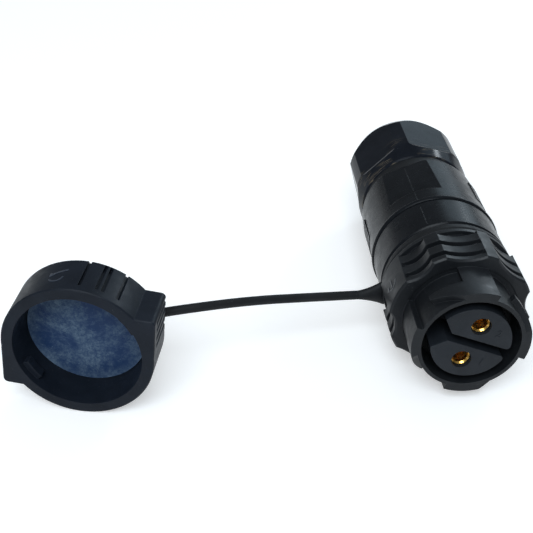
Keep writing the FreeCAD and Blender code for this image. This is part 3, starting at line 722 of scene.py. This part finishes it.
# Small pieces
def number_piece(digit, x, z, details):
    start_clean()
    bpy.ops.object.text_add(location=(0.0, 0.0, 0.0))
    text = bpy.context.object
    text.data.body = digit
    text.data.size = details.number_height / DIGIT_SHARE
    text.data.align_x = "CENTER"
    text.data.align_y = "CENTER"
    text.data.extrude = details.number_relief
    text.data.bevel_depth = details.number_relief / 4
    bpy.ops.object.convert(target="MESH")
    piece = bpy.context.object
    piece.name = "contact_number_" + digit
    standing = Matrix.Rotation(math.radians(90.0), 4, "X")
    turned = Matrix.Rotation(INSERT_TURN, 4, "Y")
    place = Matrix.Translation((x, ISLAND_FACE, z))
    piece.matrix_world = CONNECTOR @ place @ turned @ standing
    settle(piece)
    return piece


class ConnectorNumbers(Operator):
    """Set a plain number beside each contact"""

    bl_idname = "connector.numbers"
    bl_label = "Contact numbers"

    def execute(self, context):
        details = context.scene.connector_detail
        finish = insert_finish(context.scene.connector_finish)
        for digit, x, z in NUMBERS:
            piece = number_piece(digit, x, z, details)
            give_finish(piece, finish)
            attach(piece, "connector")
        return {"FINISHED"}


# A flat strip with its middle at the origin, longest along Y
def flat_bar(name, width, length, cuts):
    start_clean()
    bpy.ops.mesh.primitive_plane_add(size=width, location=(0.0, 0.0, 0.0))
    bar = bpy.context.object
    bar.name = name
    bpy.ops.object.mode_set(mode="EDIT")
    bpy.ops.mesh.select_all(action="DESELECT")
    mesh = bmesh.from_edit_mesh(bar.data)
    for edge in mesh.edges:
        if all(vertex.co.y > 0.0 for vertex in edge.verts):
            edge.select_set(True)
    bmesh.update_edit_mesh(bar.data)
    bpy.ops.mesh.extrude_region_move(TRANSFORM_OT_translate={"value": (0.0, length - width, 0.0)})
    bpy.ops.mesh.select_all(action="SELECT")
    bpy.ops.transform.translate(value=(0.0, (width - length) / 2, 0.0))
    bpy.ops.mesh.subdivide(number_cuts=cuts)
    bpy.ops.object.mode_set(mode="OBJECT")
    return bar


# An arc round the origin that starts on +X and ends in a pointed head
def turning_arrow(name, stroke, radius, sweep):
    start_clean()
    bpy.ops.mesh.primitive_plane_add(size=stroke, location=(radius, 0.0, 0.0))
    arrow = bpy.context.object
    arrow.name = name
    bpy.ops.object.transform_apply(location=True)
    bpy.ops.object.mode_set(mode="EDIT")
    bpy.ops.mesh.select_all(action="SELECT")
    bpy.ops.mesh.delete(type="ONLY_FACE")
    mesh = bmesh.from_edit_mesh(arrow.data)
    doomed = [vertex for vertex in mesh.verts if vertex.co.y > 0.0]
    bmesh.ops.delete(mesh, geom=doomed, context="VERTS")
    bmesh.update_edit_mesh(arrow.data)
    bpy.ops.mesh.select_all(action="SELECT")
    bpy.ops.mesh.spin(steps=ARROW_STEPS, angle=sweep, center=(0.0, 0.0, 0.0), axis=(0.0, 0.0, 1.0))
    bpy.ops.object.mode_set(mode="OBJECT")
    end = Matrix.Rotation(sweep, 4, "Z") @ Vector((radius, -stroke / 2, 0.0))
    head_radius = ARROW_HEAD_SHARE * stroke
    bpy.ops.mesh.primitive_circle_add(
        vertices=3, radius=head_radius, fill_type="NGON", location=end
    )
    head = bpy.context.object
    head.rotation_euler = (0.0, 0.0, sweep)
    bpy.ops.object.mode_set(mode="EDIT")
    bpy.ops.mesh.select_all(action="SELECT")
    bpy.ops.mesh.subdivide(number_cuts=ARROW_HEAD_CUTS)
    bpy.ops.object.mode_set(mode="OBJECT")
    bpy.ops.object.transform_apply(location=True, rotation=True)
    return join([arrow, head], name)


def draw_above(shape, base, angle, middle):
    turn = Matrix.Rotation(math.radians(angle), 4, "Y")
    shape.matrix_world = base @ turn @ Matrix.Translation((0.0, middle, DRAWN_ABOVE))


class ConnectorSeam(Operator):
    """Lay the mould's fine seam along the rear shell"""

    bl_idname = "connector.seam"
    bl_label = "Mould seam"

    def execute(self, context):
        details = context.scene.connector_detail
        finish = shell_finish(context.scene.connector_finish)
        for number, angle in enumerate(SEAM_ANGLES, 1):
            seam = flat_bar("shell_seam_%d" % number, details.seam_width, SEAM_LENGTH, SEAM_CUTS)
            draw_above(seam, CONNECTOR, angle, SEAM_MIDDLE)
            wrap_onto(seam, "rear_shell", details.seam_relief)
            settle(seam)
            give_finish(seam, finish)
            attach(seam, "connector")
        return {"FINISHED"}


class ConnectorMarks(Operator):
    """Raise the turning marks on the grip sleeve and on the dust cap"""

    bl_idname = "connector.marks"
    bl_label = "Turning marks"

    def execute(self, context):
        details = context.scene.connector_detail
        finishes = context.scene.connector_finish
        stroke = details.mark_stroke
        worn_housing = mark_finish("sleeve_mark_finish", finishes.housing_colour)
        for number, angle in enumerate(SLEEVE_MARK_ANGLES, 1):
            bar = flat_bar("sleeve_bar", stroke, SLEEVE_BAR_LENGTH, BAR_CUTS)
            arrow = turning_arrow("sleeve_arrow", stroke, SLEEVE_ARROW_R, SLEEVE_ARROW_SWEEP)
            mark = join([bar, arrow], "sleeve_mark_%d" % number)
            draw_above(mark, CONNECTOR, angle, SLEEVE_MARK_MIDDLE)
            wrap_onto(mark, "front_housing", details.mark_relief)
            settle(mark)
            give_finish(mark, worn_housing)
            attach(mark, "connector")
        worn_cap = mark_finish("cap_mark_finish", finishes.cap_colour)
        for number, angle in enumerate(CAP_MARK_ANGLES, 1):
            bar = flat_bar("cap_bar", stroke, CAP_BAR_LENGTH, BAR_CUTS)
            bar.rotation_euler = (0.0, 0.0, CAP_BAR_TURN)
            bar.location = CAP_BAR_PLACE
            settle(bar)
            arrow = turning_arrow("cap_arrow", stroke, CAP_ARROW_R, CAP_ARROW_SWEEP)
            mark = join([bar, arrow], "cap_mark_%d" % number)
            draw_above(mark, CAP, angle, CAP_MARK_MIDDLE)
            wrap_onto(mark, "cap_shell", details.mark_relief)
            settle(mark)
            give_finish(mark, worn_cap)
            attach(mark, "dust_cap")
        return {"FINISHED"}


class ConnectorPanel(Panel):
    """Steps that dress the connector"""

    bl_idname = "CONNECTOR_PT_steps"
    bl_label = "Inline Socket Connector"
    bl_space_type = "VIEW_3D"
    bl_region_type = "UI"
    bl_category = "Connector"

    def draw(self, context):
        layout = self.layout
        for step in STEPS:
            layout.operator(step.bl_idname)
        for settings in (
            context.scene.connector_stage,
            context.scene.connector_finish,
            context.scene.connector_detail,
        ):
            box = layout.box()
            for name in settings.bl_rna.properties.keys():
                if name not in {"rna_type", "name"}:
                    box.prop(settings, name)


STEPS = [
    ConnectorStage,
    ConnectorStrap,
    ConnectorPlastics,
    ConnectorRubber,
    ConnectorMetals,
    ConnectorNumbers,
    ConnectorSeam,
    ConnectorMarks,
]
GROUPS = [
    ("connector_stage", ConnectorStageSettings),
    ("connector_finish", ConnectorFinishSettings),
    ("connector_detail", ConnectorDetailSettings),
]


def register():
    for name, group in GROUPS:
        bpy.utils.register_class(group)
        setattr(bpy.types.Scene, name, PointerProperty(type=group))
    for step in STEPS:
        bpy.utils.register_class(step)
    bpy.utils.register_class(ConnectorPanel)


def unregister():
    bpy.utils.unregister_class(ConnectorPanel)
    for step in reversed(STEPS):
        bpy.utils.unregister_class(step)
    for name, group in reversed(GROUPS):
        delattr(bpy.types.Scene, name)
        bpy.utils.unregister_class(group)


def main():
    register()
    bpy.ops.connector.stage()
    bpy.ops.connector.strap()
    bpy.ops.connector.plastics()
    bpy.ops.connector.rubber()
    bpy.ops.connector.metals()
    bpy.ops.connector.numbers()
    bpy.ops.connector.seam()
    bpy.ops.connector.marks()
    start_clean()


if __name__ == "__main__":
    main()
